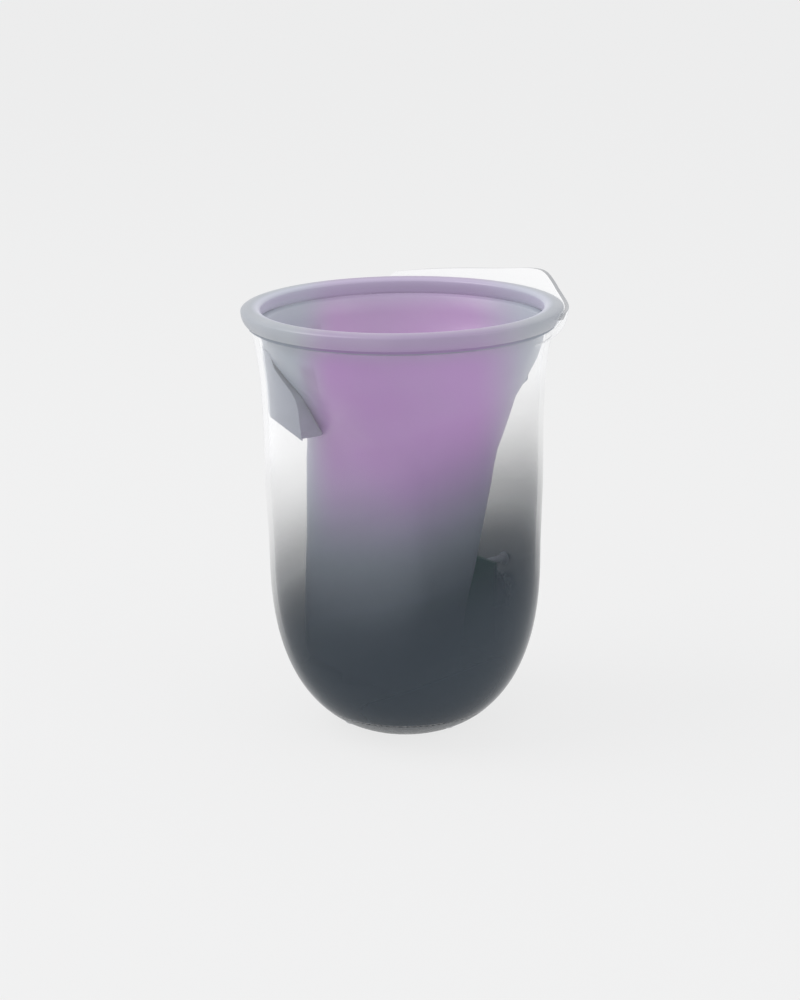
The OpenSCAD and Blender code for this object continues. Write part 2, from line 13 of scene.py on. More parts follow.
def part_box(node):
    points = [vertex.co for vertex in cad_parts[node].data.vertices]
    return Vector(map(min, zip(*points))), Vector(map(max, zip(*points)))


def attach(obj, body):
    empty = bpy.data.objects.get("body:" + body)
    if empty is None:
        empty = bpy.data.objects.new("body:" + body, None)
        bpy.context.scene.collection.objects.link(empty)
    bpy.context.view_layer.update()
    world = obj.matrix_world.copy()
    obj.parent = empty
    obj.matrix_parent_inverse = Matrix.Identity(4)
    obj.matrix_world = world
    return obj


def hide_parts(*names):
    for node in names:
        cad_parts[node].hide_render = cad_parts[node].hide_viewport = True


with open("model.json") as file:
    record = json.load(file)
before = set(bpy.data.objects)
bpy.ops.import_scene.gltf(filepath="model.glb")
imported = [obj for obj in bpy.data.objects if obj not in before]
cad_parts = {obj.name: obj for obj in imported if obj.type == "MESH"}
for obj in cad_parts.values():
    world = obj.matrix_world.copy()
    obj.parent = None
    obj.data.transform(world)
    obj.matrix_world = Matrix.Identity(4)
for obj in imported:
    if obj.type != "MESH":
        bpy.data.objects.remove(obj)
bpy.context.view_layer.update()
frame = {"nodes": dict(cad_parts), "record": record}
cad = frame["nodes"]

MM = 0.001
AZIMUTH, ELEVATION, DISTANCE = math.radians(54), math.radians(15.8), 0.901
AIM = Vector((-1.03, -1.42, 92)) * MM
ROLL = math.radians(0.75)
LENS, SENSOR = 81.43, 36
BACKGROUND = (0.863, 0.863, 0.863)
FLOOR_GLOW, FLOOR_SHADE = 0.772, 0.1
LAMP_TURN = Matrix.Rotation(math.radians(144), 4, "Z")
LAMP_SHIFT, LAMP_PANE = 10, 24
WALL_LEAN = math.atan(0.28)
KEY_POWER, FILL_POWER = 11, 3


# ---- Camera, light and floor ----

def set_camera():
    """The camera that was fitted to the photograph's view."""
    back = Vector((math.sin(AZIMUTH) * math.cos(ELEVATION),
                   -math.cos(AZIMUTH) * math.cos(ELEVATION), math.sin(ELEVATION)))
    data = bpy.data.cameras.new("camera")
    data.lens, data.sensor_width = LENS, SENSOR
    camera = bpy.data.objects.new("camera", data)
    bpy.context.collection.objects.link(camera)
    camera.location = AIM + back * DISTANCE
    camera.rotation_mode = "QUATERNION"
    camera.rotation_quaternion = (-back).to_track_quat("-Z", "Y") @ Quaternion((0, 0, 1), -ROLL)
    bpy.context.scene.camera = camera


def seen_ray(tree):
    """1 for the rays that show a surface as such: the camera's own, and those through or off the object."""
    path = tree.nodes.new("ShaderNodeLightPath")
    share = path.outputs["Is Camera Ray"]
    for kind in ("Is Glossy Ray", "Is Transmission Ray"):
        both = tree.nodes.new("ShaderNodeMath")
        both.operation = "MAXIMUM"
        tree.links.new(share, both.inputs[0])
        tree.links.new(path.outputs[kind], both.inputs[1])
        share = both.outputs[0]
    return share


def set_world(strength=0.74):
    world = bpy.data.worlds.new("studio")
    bpy.context.scene.world = world
    world.use_nodes = True
    tree = world.node_tree
    tree.nodes.clear()
    out = tree.nodes.new("ShaderNodeOutputWorld")
    mix = tree.nodes.new("ShaderNodeMixShader")
    light, backdrop = tree.nodes.new("ShaderNodeBackground"), tree.nodes.new("ShaderNodeBackground")
    light.inputs["Color"].default_value = (0.97, 0.98, 1.0, 1)
    light.inputs["Strength"].default_value = strength
    backdrop.inputs["Color"].default_value = (*BACKGROUND, 1)
    tree.links.new(seen_ray(tree), mix.inputs[0])
    tree.links.new(light.outputs[0], mix.inputs[1])
    tree.links.new(backdrop.outputs[0], mix.inputs[2])
    tree.links.new(mix.outputs[0], out.inputs[0])


def add_softbox(name, place, aim, size, power):
    data = bpy.data.lights.new(name, "AREA")
    data.shape, data.size, data.energy = "DISK", size, power
    lamp = bpy.data.objects.new(name, data)
    bpy.context.collection.objects.link(lamp)
    lamp.location = place
    lamp.rotation_mode = "QUATERNION"
    lamp.rotation_quaternion = (Vector(aim) - Vector(place)).to_track_quat("-Z", "Y")


def add_floor(side=14.0):
    bm = bmesh.new()
    bmesh.ops.create_grid(bm, x_segments=1, y_segments=1, size=side / 2)
    mesh = bpy.data.meshes.new("floor")
    bm.to_mesh(mesh)
    bm.free()
    floor = bpy.data.objects.new("floor", mesh)
    bpy.context.collection.objects.link(floor)
    floor.data.materials.append(floor_paper())


def floor_paper(shadow=FLOOR_SHADE, glow=FLOOR_GLOW):
    """Pale paper: it glows for the rays that show it, and its own shading carries the object's shadow."""
    matter = bpy.data.materials.new("floor paper")
    matter.use_nodes = True
    tree = matter.node_tree
    paper = tree.nodes["Principled BSDF"]
    paper.inputs["Base Color"].default_value = (0.86, 0.86, 0.86, 1)
    paper.inputs["Roughness"].default_value = 0.9
    shaded = tree.nodes.new("ShaderNodeBsdfDiffuse")
    shaded.inputs["Color"].default_value = (shadow, shadow, shadow, 1)
    light = tree.nodes.new("ShaderNodeEmission")
    light.inputs["Color"].default_value = (glow, glow, glow, 1)
    both, mix = tree.nodes.new("ShaderNodeAddShader"), tree.nodes.new("ShaderNodeMixShader")
    tree.links.new(light.outputs[0], both.inputs[0])
    tree.links.new(shaded.outputs[0], both.inputs[1])
    tree.links.new(seen_ray(tree), mix.inputs[0])
    tree.links.new(paper.outputs[0], mix.inputs[1])
    tree.links.new(both.outputs[0], mix.inputs[2])
    tree.links.new(mix.outputs[0], tree.nodes["Material Output"].inputs["Surface"])
    return matter


# ---- Materials ----

def start(name, colour=(0.5, 0.5, 0.5), roughness=0.4, **sockets):
    """A new material with its own shader, whose constant values sit on its sockets."""
    matter = bpy.data.materials.new(name)
    matter.use_nodes = True
    tree = matter.node_tree
    shader = tree.nodes["Principled BSDF"]
    shader.inputs["Base Color"].default_value = (*colour, 1)
    shader.inputs["Roughness"].default_value = roughness
    for key, value in sockets.items():
        shader.inputs[key.replace("_", " ")].default_value = value
    return matter, tree, shader


def place_of(tree):
    return tree.nodes.new("ShaderNodeTexCoord").outputs["Object"]


def noise(tree, per_metre, detail=3.0, stretch=(1, 1, 1)):
    mapping = tree.nodes.new("ShaderNodeMapping")
    mapping.inputs["Scale"].default_value = stretch
    tree.links.new(place_of(tree), mapping.inputs["Vector"])
    node = tree.nodes.new("ShaderNodeTexNoise")
    node.inputs["Scale"].default_value = per_metre
    node.inputs["Detail"].default_value = detail
    tree.links.new(mapping.outputs[0], node.inputs["Vector"])
    return node.outputs["Fac"]


def between(tree, value, low, high, to_low, to_high):
    node = tree.nodes.new("ShaderNodeMapRange")
    node.interpolation_type = "SMOOTHSTEP"
    for key, number in (("From Min", low), ("From Max", high), ("To Min", to_low), ("To Max", to_high)):
        node.inputs[key].default_value = number
    tree.links.new(value, node.inputs["Value"])
    return node.outputs["Result"]


def maths(tree, operation, a, b=None):
    node = tree.nodes.new("ShaderNodeMath")
    node.operation = operation
    for socket, value in zip(node.inputs, (a, b)):
        if value is None:
            continue
        if isinstance(value, (int, float)):
            socket.default_value = value
        else:
            tree.links.new(value, socket)
    return node.outputs[0]


def along(tree, direction):
    """How far a point lies along a direction, in metres."""
    node = tree.nodes.new("ShaderNodeVectorMath")
    node.operation = "DOT_PRODUCT"
    tree.links.new(place_of(tree), node.inputs[0])
    node.inputs[1].default_value = direction
    return node.outputs["Value"]


def ramp(tree, value, stops):
    """stops: (position, colour or grey)."""
    node = tree.nodes.new("ShaderNodeValToRGB")
    line = node.color_ramp
    while len(line.elements) > 1:
        line.elements.remove(line.elements[-1])
    for k, (position, colour) in enumerate(stops):
        colour = (colour,) * 3 if isinstance(colour, (int, float)) else colour
        element = line.elements[0] if k == 0 else line.elements.new(position)
        element.position, element.color = position, (*colour, 1)
    tree.links.new(value, node.inputs[0])
    return node.outputs["Color"]


def blend_colour(tree, share, a, b):
    node = tree.nodes.new("ShaderNodeMix")
    node.data_type = "RGBA"
    if isinstance(share, float):
        node.inputs["Factor"].default_value = share
    else:
        tree.links.new(share, node.inputs["Factor"])
    for socket, value in ((node.inputs[6], a), (node.inputs[7], b)):
        if isinstance(value, tuple):
            socket.default_value = (*value, 1)
        else:
            tree.links.new(value, socket)
    return node.outputs[2]


def grain(tree, shader, per_metre, height, strength=0.3):
    """A fine moulded grain: bump, and a little change of roughness with it."""
    speckle = noise(tree, per_metre)
    bump = tree.nodes.new("ShaderNodeBump")
    bump.inputs["Strength"].default_value = strength
    bump.inputs["Distance"].default_value = height
    tree.links.new(speckle, bump.inputs["Height"])
    tree.links.new(bump.outputs[0], shader.inputs["Normal"])
    base = shader.inputs["Roughness"].default_value
    tree.links.new(between(tree, noise(tree, per_metre / 12), 0.3, 0.7, base * 0.85, min(1, base * 1.15)),
                   shader.inputs["Roughness"])


def handled(tree, shader, low, high):
    """Polish that drifts a little from place to place, as on plastic that has been handled."""
    tree.links.new(between(tree, noise(tree, 60, 4), 0.3, 0.7, low, high), shader.inputs["Roughness"])


def plastic(name, colour, roughness=0.4, per_metre=4000, height=0.00003, drift=0.06, **sockets):
    """Moulded plastic or rubber: grain, and a faint drift of its colour."""
    matter, tree, shader = start(name, colour, roughness, **sockets)
    light = tuple(min(1, c * (1 + drift)) for c in colour)
    dark = tuple(c * (1 - drift) for c in colour)
    tree.links.new(blend_colour(tree, between(tree, noise(tree, 90), 0.3, 0.7, 0, 1), dark, light),
                   shader.inputs["Base Color"])
    grain(tree, shader, per_metre, height)
    return matter


def metal(name, colour, roughness=0.3, stretch=(1, 1, 30)):
    """Drawn or turned metal, with streaks along one way."""
    matter, tree, shader = start(name, colour, roughness, Metallic=1.0)
    streaks = noise(tree, 700, 4, stretch)
    tree.links.new(between(tree, streaks, 0.25, 0.75, roughness * 0.7, roughness * 1.4),
                   shader.inputs["Roughness"])
    dark = tuple(c * 0.8 for c in colour)
    tree.links.new(blend_colour(tree, streaks, dark, colour), shader.inputs["Base Color"])
    return matter


SIDEWAYS = (0.588, 0.809, 0.0)
UPWARDS = (0.0, 0.0, 1.0)
SLANTED = (-0.31 * SIDEWAYS[0], -0.31 * SIDEWAYS[1], 1.0)
VIOLET = (0.33, 0.175, 0.39)
VIOLET_LIGHT = (0.36, 0.08, 0.50)
LINER_GREY = (0.33, 0.365, 0.42)
SMOKE = (0.057, 0.071, 0.086)
CLEAR = (0.90, 0.91, 0.92)


def between_linear(tree, value, low, high):
    node = tree.nodes.new("ShaderNodeMapRange")
    node.inputs["From Min"].default_value = low
    node.inputs["From Max"].default_value = high
    tree.links.new(value, node.inputs["Value"])
    return node.outputs["Result"]


def product(tree, *shares):
    result = shares[0]
    for share in shares[1:]:
        result = maths(tree, "MULTIPLY", result, share)
    return result


def violet_share(tree, low_z, high_z):
    """Where the lamp's light fills the pocket: 0 outside it, 1 in its middle."""
    across = along(tree, SIDEWAYS)
    left = between(tree, across, -0.043, -0.026, 0, 1)
    right = between(tree, across, 0.026, 0.052, 1, 0)
    height = between(tree, along(tree, SLANTED), low_z, high_z, 0, 1)
    top = between(tree, along(tree, UPWARDS), 0.156, 0.170, 1, 0.45)
    return product(tree, left, right, height, top)


def smoked_shell():
    """Clear above, fading through grey smoke to nearly opaque below. The fade rises along SIDEWAYS."""
    matter, tree, shader = start("smoked clear shell", roughness=0.08, IOR=1.2)
    height = along(tree, SLANTED)
    cloud = maths(tree, "MULTIPLY", maths(tree, "SUBTRACT", noise(tree, 14, 2), 0.5), 0.010)
    level = between_linear(tree, maths(tree, "ADD", height, cloud), 0, 0.14)
    body = ramp(tree, level, [(0.0, 0.93), (0.12, 0.88), (0.25, 0.80), (0.39, 0.59), (0.48, 0.365),
                              (0.54, 0.31), (0.63, 0.185), (0.69, 0.11), (0.75, 0.062), (0.82, 0.045),
                              (0.92, 0.03)])
    colour = ramp(tree, level, [(0.0, SMOKE), (0.74, tuple(1.2 * c for c in SMOKE)), (0.94, CLEAR)])
    clear = ramp(tree, level, [(0.80, 0.0), (0.95, 1.0)])
    top = between(tree, along(tree, UPWARDS), 0.160, 0.170, 0, 1)
    facing = tree.nodes.new("ShaderNodeLayerWeight")
    facing.inputs["Blend"].default_value = 0.5
    outline = maths(tree, "POWER", facing.outputs["Facing"], 6.0)
    normal = tree.nodes.new("ShaderNodeSeparateXYZ")
    tree.links.new(tree.nodes.new("ShaderNodeNewGeometry").outputs["Normal"], normal.inputs[0])
    cut = product(tree, between(tree, normal.outputs["Z"], 0.6, 0.85, 0, 1), top)
    line = maths(tree, "MAXIMUM", product(tree, outline, clear), cut)
    veil = maths(tree, "ADD", body, maths(tree, "MULTIPLY", top, 0.05))
    grown = maths(tree, "ADD", veil, maths(tree, "MULTIPLY", line, 0.6))
    tree.links.new(maths(tree, "MINIMUM", grown, 1.0), shader.inputs["Alpha"])
    tree.links.new(blend_colour(tree, line, colour, (0.22, 0.23, 0.25)), shader.inputs["Base Color"])
    # Painted light: the clear part glows white, except on its lines, which keeps it as pale as the backdrop.
    glow = maths(tree, "MULTIPLY", clear, maths(tree, "SUBTRACT", 1.0, line))
    tree.links.new(blend_colour(tree, glow, (0.0, 0.0, 0.0), (1.0, 1.0, 1.0)),
                   shader.inputs["Emission Color"])
    shader.inputs["Emission Strength"].default_value = 0.6
    handled(tree, shader, 0.06, 0.11)
    return matter


def level_place(tree):
    """A point's place without its height."""
    flat = tree.nodes.new("ShaderNodeVectorMath")
    flat.operation = "MULTIPLY"
    flat.inputs[1].default_value = (1, 1, 0)
    tree.links.new(place_of(tree), flat.inputs[0])
    return flat.outputs[0]


def mouth_glow(tree):
    """How much of the lamp's light a surface that faces the axis catches, up to 1 at the mouth."""
    inward = tree.nodes.new("ShaderNodeVectorMath")
    inward.operation = "DOT_PRODUCT"
    tree.links.new(level_place(tree), inward.inputs[0])
    tree.links.new(tree.nodes.new("ShaderNodeNewGeometry").outputs["Normal"], inward.inputs[1])
    side = between(tree, inward.outputs["Value"], -0.020, 0.002, 1, 0)
    return product(tree, side, between(tree, along(tree, UPWARDS), 0.09, 0.155, 0, 1))


def lamp_shade(tree):
    """A soft dark wedge beside the lamp, where the wall turns away from its light."""
    across = along(tree, (SIDEWAYS[0], SIDEWAYS[1], 0.13))
    side = product(tree, between(tree, across, -0.0205, -0.0165, 0, 1),
                   between(tree, across, -0.0135, -0.0125, 1, 0))
    return product(tree, side, between(tree, along(tree, UPWARDS), 0.132, 0.150, 0, 1),
                   between(tree, along(tree, UPWARDS), 0.153, 0.157, 1, 0))


def glowing_liner():
    """Blue-grey translucent plastic, lit violet from inside, darker towards the pocket's foot."""
    matter, tree, shader = start("violet-lit liner", LINER_GREY, 0.35)
    cloud = maths(tree, "MULTIPLY", maths(tree, "SUBTRACT", noise(tree, 30, 2), 0.5), 0.35)
    share = maths(tree, "MULTIPLY", violet_share(tree, 0.072, 0.128), maths(tree, "ADD", 0.97, cloud))
    share = maths(tree, "MINIMUM", share, 1.0)
    shade = between(tree, along(tree, UPWARDS), 0.03, 0.11, 0.45, 1.0)
    grey = blend_colour(tree, shade, tuple(c * 0.4 for c in LINER_GREY), LINER_GREY)
    colour = blend_colour(tree, share, grey, VIOLET)
    dark = maths(tree, "MULTIPLY", lamp_shade(tree), 0.3)
    tree.links.new(blend_colour(tree, dark, colour, (0.12, 0.06, 0.16)), shader.inputs["Base Color"])
    shader.inputs["Emission Strength"].default_value = 0.12
    soft = blend_colour(tree, share, (0.0, 0.0, 0.0), VIOLET_LIGHT)
    inside = blend_colour(tree, share, (1.0, 1.0, 1.1), (1.5, 1.15, 1.55))
    tree.links.new(blend_colour(tree, mouth_glow(tree), soft, inside), shader.inputs["Emission Color"])
    tree.links.new(between(tree, along(tree, UPWARDS), 0.05, 0.12, 0.95, 0.85), shader.inputs["Alpha"])
    handled(tree, shader, 0.30, 0.42)
    return matter


def satin_rim():
    """Pale at the bead's nose, and darkened to the liner's grey on its inner slope as painted shade; its
    violet and the glow on its inward faces are painted lamp light.
    """
    matter, tree, shader = start("satin rim", (0.44, 0.46, 0.50), 0.3)
    share = violet_share(tree, 0.1, 0.16)
    radius = tree.nodes.new("ShaderNodeVectorMath")
    radius.operation = "LENGTH"
    tree.links.new(level_place(tree), radius.inputs[0])
    # Painted shade: the bead's inner slope, which turns away from the light, is darkened to the liner's grey.
    inner = between(tree, radius.outputs["Value"], 0.0560, 0.0605, 1, 0)
    cloud = between(tree, noise(tree, 25, 2), 0.35, 0.65, 0, 1)
    grey = blend_colour(tree, cloud, (0.355, 0.375, 0.415), (0.405, 0.425, 0.46))
    grey = blend_colour(tree, inner, grey, LINER_GREY)
    tree.links.new(blend_colour(tree, share, grey, VIOLET), shader.inputs["Base Color"])
    soft = blend_colour(tree, share, (0.0, 0.0, 0.0), VIOLET_LIGHT)
    tree.links.new(blend_colour(tree, mouth_glow(tree), soft, (1.3, 1.15, 1.4)),
                   shader.inputs["Emission Color"])
    shader.inputs["Emission Strength"].default_value = 0.12
    handled(tree, shader, 0.28, 0.32)
    return matter


def circuit_board():
    """Green solder mask over copper traces that run along and across the board."""
    matter, tree, shader = start("circuit board", (0.012, 0.07, 0.035), 0.35)
    traces = tree.nodes.new("ShaderNodeTexBrick")
    tree.links.new(place_of(tree), traces.inputs["Vector"])
    for key, value in (("Scale", 320.0), ("Mortar Size", 0.06), ("Mortar Smooth", 0.3), ("Brick Width", 1.3),
                       ("Row Height", 0.45)):
        traces.inputs[key].default_value = value
    tree.links.new(blend_colour(tree, traces.outputs["Fac"], (0.010, 0.060, 0.030), (0.030, 0.150, 0.070)),
                   shader.inputs["Base Color"])
    bump = tree.nodes.new("ShaderNodeBump")
    bump.inputs["Strength"].default_value = 0.4
    bump.inputs["Distance"].default_value = 0.00004
    tree.links.new(traces.outputs["Fac"], bump.inputs["Height"])
    tree.links.new(bump.outputs[0], shader.inputs["Normal"])
    return matter


def lit(name, colour, strength):
    matter, tree, shader = start(name, colour, 0.3)
    shader.inputs["Emission Strength"].default_value = strength
    tree.links.new(blend_colour(tree, between(tree, noise(tree, 900), 0.3, 0.7, 0, 1),
                                tuple(c * 0.8 for c in colour), colour), shader.inputs["Emission Color"])
    return matter


FINISHES = {
    "clear_shell": smoked_shell(),
    "liner": glowing_liner(),
    "rim": satin_rim(),
    # Painted light: the housing glows faintly in its own grey, which lifts the shade under the rim and in the
    # gap beside the liner.
    "housing": plastic("satin housing", (0.31, 0.33, 0.375), 0.38, Emission_Color=(0.33, 0.35, 0.40, 1),
                       Emission_Strength=0.14),
    "uv_glass": plastic("quartz pane", (0.42, 0.25, 0.60), 0.06, height=0.000005, Alpha=0.55),
    "uv_chip": lit("lamp chips", (0.62, 0.40, 1.0), 3.0),
    "silicone": plastic("soft silicone", (0.30, 0.32, 0.37), 0.7, 2500),
    "rubber": plastic("foot rubber", (0.03, 0.03, 0.032), 0.8, 1800, 0.00006),
    "base": plastic("base plastic", (0.060, 0.071, 0.083), 0.3, 5000),
    "inner_frame": plastic("inner frame plastic", (0.05, 0.055, 0.06), 0.5),
    "board": circuit_board(),
    "black_parts": plastic("black parts", (0.02, 0.02, 0.022), 0.45),
    "pale_plastic": plastic("pale plastic", (0.62, 0.60, 0.54), 0.4),
    "flex": plastic("flat lead", (0.36, 0.17, 0.035), 0.35, 900),
    "copper": metal("enamelled copper", (0.80, 0.38, 0.20), 0.3, (1, 1, 1)),
    "ferrite": plastic("ferrite", (0.022, 0.022, 0.025), 0.55, 3000),
    "steel": metal("steel", (0.58, 0.59, 0.61)),
    "button": plastic("button plastic", (0.04, 0.044, 0.052), 0.42),
    "bezel": metal("satin bezel", (0.42, 0.44, 0.47), 0.28, (1, 1, 1)),
    "pipe": plastic("light pipe", (0.80, 0.82, 0.86), 0.1, height=0.000005, Alpha=0.7),
}


# ---- Pieces ----

slot_of = {row["node"]: row["material_slot"] for row in frame["record"]["subparts"]}
body_of = {node: body for body, members in frame["record"]["behaviour"]["bodies"].items() for node in members}


def piece_from(bm, name, nodes=(), slot=None, smooth=35):
    """Makes a piece of a bmesh. It stands for the named solids, or is a detail of the fixed body."""
    mesh = bpy.data.meshes.new(name)
    bm.to_mesh(mesh)
    bm.free()
    mesh.polygons.foreach_set("use_smooth", [True] * len(mesh.polygons))
    mesh.set_sharp_from_angle(angle=math.radians(smooth))
    piece = bpy.data.objects.new(name, mesh)
    bpy.context.collection.objects.link(piece)
    slot = slot or slot_of[nodes[0]]
    mesh.materials.append(FINISHES[slot])
    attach(piece, body_of[nodes[0]] if nodes else body_of["outer_shell"])
    if nodes:
        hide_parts(*nodes)
    return piece


def rounded(piece, width, angle=35):
    """Rounds a piece's sharp edges by a width in metres."""
    bevel = piece.modifiers.new("edges", "BEVEL")
    bevel.width, bevel.segments, bevel.limit_method = width, 2, "ANGLE"
    bevel.angle_limit = math.radians(angle)
    bevel.harden_normals = True


def merged(node, flat=1.0):
    """A copy of a solid's mesh with its triangles joined into clean faces."""
    bm = bmesh.new()
    bm.from_mesh(cad[node].data)
    bmesh.ops.remove_doubles(bm, verts=bm.verts, dist=2e-6)
    bmesh.ops.dissolve_limit(bm, angle_limit=math.radians(flat), verts=bm.verts, edges=bm.edges)
    return bm


def slice_at(bm, place, normal):
    """Cuts every face that a plane passes through, and keeps both sides."""
    bmesh.ops.bisect_plane(bm, geom=bm.verts[:] + bm.edges[:] + bm.faces[:], plane_co=place, plane_no=normal)


def smoothed(node, name, edge=0.0, smooth=35, flat=1.0):
    """A solid under its visible name, with its edges rounded where a width is given."""
    piece = piece_from(merged(node, flat), name, [node], smooth=smooth)
    if edge:
        rounded(piece, edge, smooth)
    return piece


def turned(bm, profile, steps=96, place=Matrix(), closed=False):
    """Spins a line of (radius, height) points in millimetres round Z, then puts it in its place."""
    verts = [bm.verts.new((r * MM, 0, z * MM)) for r, z in profile]
    ends = verts[1:] + verts[:1] if closed else verts[1:]
    edges = [bm.edges.new(pair) for pair in zip(verts, ends)]
    old = set(bm.verts) - set(verts)
    bmesh.ops.spin(bm, geom=verts + edges, cent=(0, 0, 0), axis=(0, 0, 1), angle=2 * math.pi, steps=steps,
                   use_merge=True)
    new = [v for v in bm.verts if v not in old]
    bmesh.ops.remove_doubles(bm, verts=new, dist=1e-7)
    new = [v for v in bm.verts if v not in old]
    faces = list({f for v in new for f in v.link_faces})
    bmesh.ops.recalc_face_normals(bm, faces=faces)
    bmesh.ops.transform(bm, matrix=place, verts=new)
    return new


def lathe(name, nodes, profile, steps=96, place=Matrix(), closed=False, smooth=35):
    """A piece that is one turned profile."""
    bm = bmesh.new()
    turned(bm, profile, steps, place, closed)
    return piece_from(bm, name, nodes, smooth=smooth)


def block(bm, low, high):
    """A box between two corners in millimetres."""
    low, high = Vector(low) * MM, Vector(high) * MM
    size = Matrix.Diagonal((*(high - low), 1))
    return bmesh.ops.create_cube(bm, size=1, matrix=Matrix.Translation((low + high) / 2) @ size)["verts"]


def arc(r, z, rx, rz, start_at, end_at, steps):
    """Points along an elliptical arc, with its angles in degrees."""
    return [(r + rx * math.cos(a), z + rz * math.sin(a))
            for a in (math.radians(start_at + (end_at - start_at) * i / steps) for i in range(steps + 1))]


def corners(node):
    """A solid's lowest and highest corner in millimetres."""
    return [Vector(c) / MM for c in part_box(node)]


REARWARD = Matrix.Rotation(math.radians(-90), 4, "X")


def rim():
    """The rounded bead: full above, narrowing to its seat."""
    low, high = corners("rim_ring")
    nose, seat, middle, half = high.z - 1.5, low.z, high.x - 3.8, 3.8
    under = (nose - seat) * 1.12
    profile = (arc(middle, nose, half, high.z - nose, 0, 180, 20)
               + arc(middle, nose, half, under, 190, 243, 8)
               + [(middle - 1.7, seat), (middle + 1.7, seat)]
               + arc(middle, nose, half, under, 297, 350, 8))
    lathe("rim", ["rim_ring"], profile, 160, closed=True, smooth=60)


def foot():
    """A rubber pad with ring grooves in its underside."""
    high = corners("foot_pad")[1]
    radius = high.x
    profile = [(0, high.z), (radius, high.z), (radius, 0.3), (radius - 0.3, 0)]
    for groove in (14.5, 11.5, 8.5, 5.5):
        profile += [(groove + 0.6, 0), (groove + 0.4, 0.5), (groove - 0.4, 0.5), (groove - 0.6, 0)]
    lathe("foot", ["foot_pad"], profile + [(0, 0)], 96)


def mat():
    """The soft pocket mat, with grooves from side to side."""
    bm = merged("pocket_mat")
    low, high = corners("pocket_mat")
    pitch, half = 4.0, 0.7
    lines = [pitch * k for k in range(-8, 9)]
    for line in lines:
        for edge in (line - half, line + half):
            slice_at(bm, (edge * MM, 0, 0), (1, 0, 0))
    for edge in (low.y + 2, high.y - 2):
        slice_at(bm, (0, edge * MM, 0), (0, 1, 0))
    reach = 34 * MM
    strips = []
    for f in bm.faces:
        x, y, _ = f.calc_center_median()
        if (f.normal.z > 0.9 and low.y + 2 < y / MM < high.y - 2 and abs(x) < reach
                and min(abs(x / MM - line) for line in lines) < half):
            strips.append(f)
    bmesh.ops.inset_individual(bm, faces=strips, thickness=0.00025, depth=-0.0007, use_even_offset=True)
    piece_from(bm, "ribbed_mat", ["pocket_mat"], smooth=30)


def winding():
    """The charging coil's turns of round wire, side by side."""
    low, high = corners("charging_coil")
    inner, outer, thick, turns = 10.5, 21.0, 1.6, 9
    half = (outer - inner) / turns / 2
    middles = [inner + half * (2 * k + 1) for k in range(turns)]
    wire = half * 0.98
    over = [point for m in middles for point in arc(m, thick / 2, wire, thick / 2, 155, 25, 5)]
    under = [point for m in reversed(middles) for point in arc(m, thick / 2, wire, thick / 2, -25, -155, 5)]
    middle = (low + high) / 2
    normal = Vector((0, math.cos(WALL_LEAN), -math.sin(WALL_LEAN)))
    place = (Matrix.Translation((middle - normal * thick / 2) * MM)
             @ Matrix.Rotation(math.radians(-90) - WALL_LEAN, 4, "X"))
    lathe("coil_winding", ["charging_coil"], over + under, 72, place, closed=True, smooth=50)


def screw(bm, place, head_r, head_h, shank_r, length):
    """A pan-head screw with a six-lobed socket, its head's top at 0 and its shank downwards."""
    pitch = 0.8
    profile = [(0, -0.5 * head_h), (0.42 * head_r, -0.5 * head_h), (0.45 * head_r, 0), (0.8 * head_r, 0),
               (head_r, -0.25 * head_h), (head_r, -head_h), (shank_r, -head_h)]
    depth = -head_h - 1
    while depth - pitch > 0.6 - length:
        profile += [(shank_r, depth), (shank_r * 0.84, depth - pitch / 2)]
        depth -= pitch
    profile += [(shank_r * 0.84, 0.4 - length), (shank_r * 0.6, -length), (0, -length)]
    verts = turned(bm, profile, 36)
    for v in verts:
        reach = v.co.xy.length / MM
        if 0.1 < reach < 0.5 * head_r and v.co.z > -0.6 * head_h * MM:
            v.co.xy *= 1 + 0.16 * math.cos(6 * math.atan2(v.co.y, v.co.x))
    bmesh.ops.transform(bm, matrix=place, verts=verts)


def screws():
    low, high = corners("base_screws")
    bm = bmesh.new()
    ring = high.x - 3.0
    for k in range(4):
        middle = Matrix.Rotation(math.radians(90 * k), 4, "Z") @ Vector((ring, 0, low.z)) * MM
        upside_down = Matrix.Translation(middle) @ Matrix.Rotation(math.pi, 4, "X")
        screw(bm, upside_down, 3.0, 2.0, 1.5, high.z - low.z)
    piece_from(bm, "base_screw_set", ["base_screws"], smooth=30)
    low, high = corners("board_screws")
    bm = bmesh.new()
    offset = high.x - 1.9
    for x in (-offset, offset):
        for y in (-offset, offset):
            screw(bm, Matrix.Translation(Vector((x, y, high.z)) * MM), 1.9, 1.2, 1.0, high.z - low.z)
    piece_from(bm, "board_screw_set", ["board_screws"], smooth=30)


def button():
    """The push button: a stem, a stop flange and a dished, rounded cap."""
    low, high = corners("power_button")
    bezel_low, bezel_high = corners("button_bezel")
    height = (low.z + high.z) / 2
    flange, front, outer, cap = bezel_low.y - 1.4, high.y, high.x, 5.0
    profile = [(0, low.y), (1.7, low.y), (2, low.y + 0.3), (2, flange), (outer, flange),
               (outer, flange + 1.1), (cap, flange + 1.1), (cap, front - 0.7), (cap - 0.15, front - 0.25),
               (cap - 0.5, front), (cap - 0.9, front - 0.05), (cap - 1.7, front - 0.35),
               (cap - 3, front - 0.55), (0, front - 0.62)]
    place = Matrix.Translation((0, 0, height * MM)) @ REARWARD
    lathe("dished_button", ["power_button"], profile, 72, place)
    inner, wall, flange_r = cap + 0.08, cap + 1.6, bezel_high.x
    start_y, front = bezel_low.y, bezel_high.y
    profile = [(inner, start_y), (flange_r, start_y), (flange_r, start_y + 1.2), (wall, start_y + 1.2),
               (wall, front - 0.5), (wall - 0.15, front - 0.15), (wall - 0.5, front), (inner + 0.45, front),
               (inner + 0.12, front - 0.12), (inner, front - 0.45)]
    lathe("bezel_ring", ["button_bezel"], profile, 72, place, closed=True)


